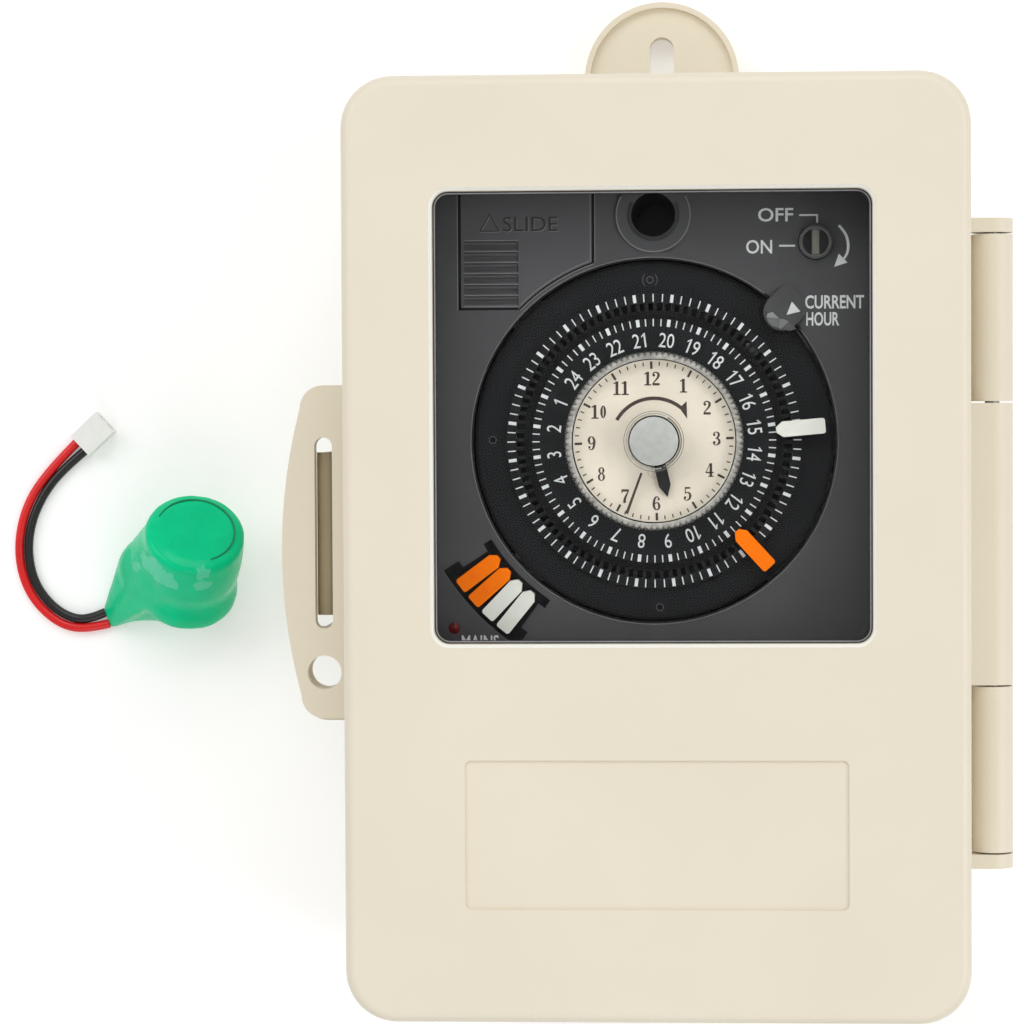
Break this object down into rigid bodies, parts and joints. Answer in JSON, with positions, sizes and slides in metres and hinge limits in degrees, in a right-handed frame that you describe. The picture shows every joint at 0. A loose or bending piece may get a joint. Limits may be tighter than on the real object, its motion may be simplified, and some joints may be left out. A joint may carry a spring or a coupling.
{
  "type": "wall-mounted 24-hour time switch",
  "caption": "Wall box with a hinged windowed door over a 24-hour mechanical timer: turning program dial with push-in trip setters, small clock, manual switch, and its loose battery pack.",
  "frame": {"origin": "centre of the flat rear face that lies against the wall", "axes": "+X towards the door hinge, +Y up towards the hanging ear, +Z out of the front of the box"},
  "size_m": [0.1814, 0.176, 0.074],
  "materials": {
    "case_beige": "satin moulded plastic, warm beige",
    "clear_plastic": "clear moulded plastic",
    "seal_rubber": "matt black rubber",
    "steel": "zinc plated steel",
    "silver_cap": "satin metallised cap",
    "module_black": "matt black plastic",
    "face_grey": "fine-textured dark grey plastic",
    "dial_black": "satin black plastic",
    "clock_cream": "cream printed plastic",
    "gear_white": "white acetal",
    "gear_brass": "turned brass",
    "setter_orange": "orange plastic",
    "setter_white": "white plastic",
    "lamp_red": "dark red lamp",
    "board_green": "circuit board",
    "part_dark": "component cases",
    "film_green": "shiny green shrink film",
    "lead_red": "red wire insulation",
    "lead_black": "black wire insulation",
    "plug_white": "white nylon"
  },
  "bodies": {
    "base": {"rear_case": "case_beige", "case_walls": "case_beige", "hanging_ear": "case_beige", "latch_pin": "steel", "module_case": "module_black", "face_plate": "face_grey", "time_index": "face_grey", "module_screws": "steel", "centre_tube": "gear_white", "clock_face": "clock_cream", "drive_motor": "part_dark", "movement_plate": "gear_white", "plate_pillars": "steel", "micro_switch": "part_dark", "switch_button": "setter_orange", "power_lamp": "lamp_red", "circuit_board": "board_green", "board_parts": "part_dark", "terminal_block": "module_black", "terminal_clamps": "steel", "terminal_screws": "steel"},
    "door": {"door": "case_beige", "door_walls": "case_beige", "window_seal": "seal_rubber", "window_pane": "clear_plastic", "door_gasket": "seal_rubber", "hinge_pin": "steel"},
    "latch": {"latch_arm": "case_beige"},
    "battery_cover": {"battery_cover": "face_grey"},
    "minute": {"minute_arbor": "gear_brass", "minute_disc": "clear_plastic", "knob_cap": "silver_cap"},
    "hour": {"hour_wheel": "gear_white", "hour_hand": "dial_black"},
    "dial": {"program_dial": "dial_black"},
    "motion": {"motion_wheel": "gear_white"},
    "idler": {"dial_idler": "gear_white"},
    "motor_rotor": {"motor_pinion": "gear_brass"},
    "manual_knob": {"on_off_knob": "face_grey", "switch_cam": "gear_white"},
    "trip_lever": {"trip_lever": "steel"},
    "setter_white": {"setter_white_on_dial": "setter_white"},
    "setter_orange": {"setter_orange_on_dial": "setter_orange"},
    "stored_orange_1": {"stored_setter_orange_1": "setter_orange"},
    "stored_orange_2": {"stored_setter_orange_2": "setter_orange"},
    "stored_white_1": {"stored_setter_white_1": "setter_white"},
    "stored_white_2": {"stored_setter_white_2": "setter_white"},
    "battery_pack": {"battery_sleeve": "film_green", "battery_cells": "steel", "lead_red": "lead_red", "lead_black": "lead_black", "plug_housing": "plug_white", "plug_contacts": "steel"}
  },
  "joints": [
    {"name": "door_hinge", "type": "hinge", "parent": "base", "child": "door", "pos_m": [0.057, 0, 0.05], "axis": [0, 1, 0], "range_deg": [0, 160]},
    {"name": "latch_flex", "type": "hinge", "parent": "base", "child": "latch", "pos_m": [-0.0542, 0.002, 0.036], "axis": [0, -1, 0], "range_deg": [0, 6], "stiffness_Nm_per_rad": 0.05},
    {"name": "battery_cover_slide", "type": "slide", "parent": "base", "child": "battery_cover", "axis": [0, 1, 0], "range_m": [0, 0.009]},
    {"name": "minute_turn", "type": "hinge", "parent": "base", "child": "minute", "pos_m": [-0.0003, 0.0178, 0.03], "axis": [0, 0, -1], "continuous": true},
    {"name": "hour_turn", "type": "hinge", "parent": "base", "child": "hour", "pos_m": [-0.0003, 0.0178, 0.04], "axis": [0, 0, -1], "continuous": true},
    {"name": "dial_turn", "type": "hinge", "parent": "base", "child": "dial", "pos_m": [-0.0003, 0.0178, 0.055], "axis": [0, 0, -1], "continuous": true},
    {"name": "motion_turn", "type": "hinge", "parent": "base", "child": "motion", "pos_m": [-0.0003, 0.0058, 0.04], "axis": [0, 0, -1], "continuous": true},
    {"name": "idler_turn", "type": "hinge", "parent": "base", "child": "idler", "pos_m": [-0.0003, 0.02655, 0.045], "axis": [0, 0, -1], "continuous": true},
    {"name": "motor_turn", "type": "hinge", "parent": "base", "child": "motor_rotor", "pos_m": [-0.0153, 0.0178, 0.03], "axis": [0, 0, -1], "continuous": true},
    {"name": "manual_knob_turn", "type": "hinge", "parent": "base", "child": "manual_knob", "pos_m": [0.0267, 0.0508, 0.05], "axis": [0, 0, -1], "continuous": true},
    {"name": "trip_lever_swing", "type": "hinge", "parent": "base", "child": "trip_lever", "pos_m": [0.0267, 0.0358, 0.0526], "axis": [0, 0, -1], "range_deg": [0, 8], "stiffness_Nm_per_rad": 0.01},
    {"name": "setter_white_pull", "type": "slide", "parent": "dial", "child": "setter_white", "axis": [0, 0, 1], "range_m": [0, 0.004]},
    {"name": "setter_orange_pull", "type": "slide", "parent": "dial", "child": "setter_orange", "axis": [0, 0, 1], "range_m": [0, 0.004]},
    {"name": "stored_orange_1_pull", "type": "slide", "parent": "base", "child": "stored_orange_1", "axis": [0, 0, 1], "range_m": [0, 0.004]},
    {"name": "stored_orange_2_pull", "type": "slide", "parent": "base", "child": "stored_orange_2", "axis": [0, 0, 1], "range_m": [0, 0.004]},
    {"name": "stored_white_1_pull", "type": "slide", "parent": "base", "child": "stored_white_1", "axis": [0, 0, 1], "range_m": [0, 0.004]},
    {"name": "stored_white_2_pull", "type": "slide", "parent": "base", "child": "stored_white_2", "axis": [0, 0, 1], "range_m": [0, 0.004]},
    {"name": "battery_pack_lift", "type": "slide", "parent": "base", "child": "battery_pack", "axis": [0, 0, 1], "range_m": [0, 0.06]}
  ],
  "couplings": [
    {"joint": "hour_turn", "follows": "minute_turn", "ratio": 0.083333},
    {"joint": "dial_turn", "follows": "minute_turn", "ratio": 0.041667},
    {"joint": "motion_turn", "follows": "minute_turn", "ratio": -0.33333},
    {"joint": "idler_turn", "follows": "minute_turn", "ratio": -0.0625},
    {"joint": "motor_turn", "follows": "minute_turn", "ratio": -4}
  ]
}
